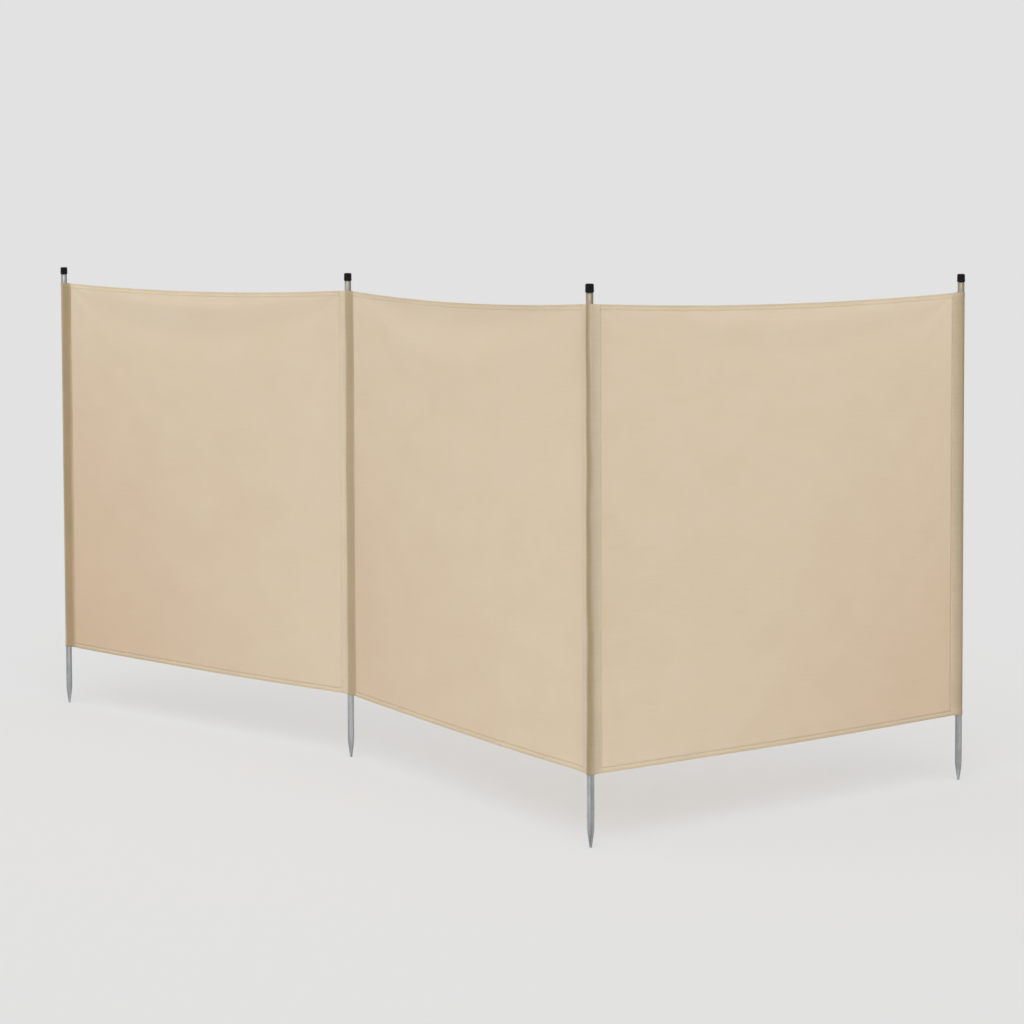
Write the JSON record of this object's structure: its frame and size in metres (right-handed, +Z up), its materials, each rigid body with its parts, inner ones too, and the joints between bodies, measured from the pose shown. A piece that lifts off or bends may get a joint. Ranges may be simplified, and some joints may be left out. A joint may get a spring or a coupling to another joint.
{
  "type": "beach windbreak",
  "caption": "Beach windbreak of plain canvas bays on pointed steel poles with end caps; the bays fold about the inner poles.",
  "frame": {"origin": "centre of the flat tip of pole 2, the left one of the two inner poles seen from outside the corner, at ground level", "axes": "+X along the middle bay from pole 2 to pole 3, +Z up along the poles, +Y to the side that bay 3 runs to"},
  "size_m": [2.6307, 1.7384, 1.44],
  "materials": {
    "steel": "zinc-plated steel tube, satin",
    "cap": "moulded black plastic, slightly satin",
    "canvas": "plain-woven beige canvas, matte"
  },
  "bodies": {
    "bay_1": {"pole_1": "steel", "cap_1": "cap", "pocket_1": "canvas", "panel_1": "canvas", "top_hem_1": "canvas", "bottom_hem_1": "canvas", "seam_1_at_pole_1": "canvas", "seam_1_at_pole_2": "canvas"},
    "bay_2": {"pole_2": "steel", "cap_2": "cap", "pocket_2": "canvas", "pole_3": "steel", "cap_3": "cap", "pocket_3": "canvas", "panel_2": "canvas", "top_hem_2": "canvas", "bottom_hem_2": "canvas", "seam_2_at_pole_2": "canvas", "seam_2_at_pole_3": "canvas"},
    "bay_3": {"pole_4": "steel", "cap_4": "cap", "pocket_4": "canvas", "panel_3": "canvas", "top_hem_3": "canvas", "bottom_hem_3": "canvas", "seam_3_at_pole_3": "canvas", "seam_3_at_pole_4": "canvas"}
  },
  "joints": [
    {"name": "bay_1_fold", "type": "hinge", "parent": "bay_2", "child": "bay_1", "pos_m": [0, 0, 0], "axis": [0, 0, 1], "range_deg": [-107, 148]},
    {"name": "bay_3_fold", "type": "hinge", "parent": "bay_2", "child": "bay_3", "pos_m": [1.333, 0, 0], "axis": [0, 0, 1], "range_deg": [-186, 69]}
  ]
}
